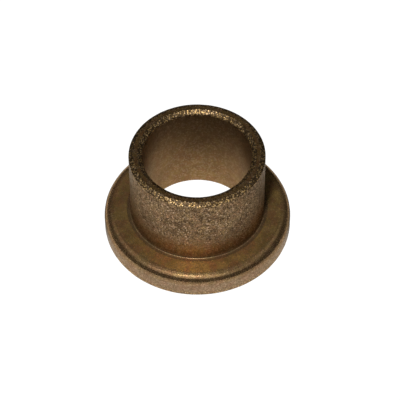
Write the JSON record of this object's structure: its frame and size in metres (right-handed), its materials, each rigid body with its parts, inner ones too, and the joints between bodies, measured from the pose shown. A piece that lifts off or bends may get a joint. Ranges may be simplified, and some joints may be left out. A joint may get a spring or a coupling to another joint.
{
  "type": "flanged sleeve bushing",
  "caption": "Flanged plain bearing bushing in sintered bronze: a short cylindrical sleeve with a round thrust flange at one end and chamfered bore.",
  "frame": {"origin": "centre of the flange's flat outer face, on the bore's axis", "axes": "+Z along the bore's axis, from the flange towards the sleeve's free end; X and Y are any two directions square to it"},
  "size_m": [0.0444, 0.0444, 0.0254],
  "materials": {
    "sintered_bronze": "oil-darkened, porous, satin"
  },
  "bodies": {
    "root": {"flanged_sleeve_bushing": "sintered_bronze"}
  },
  "joints": []
}
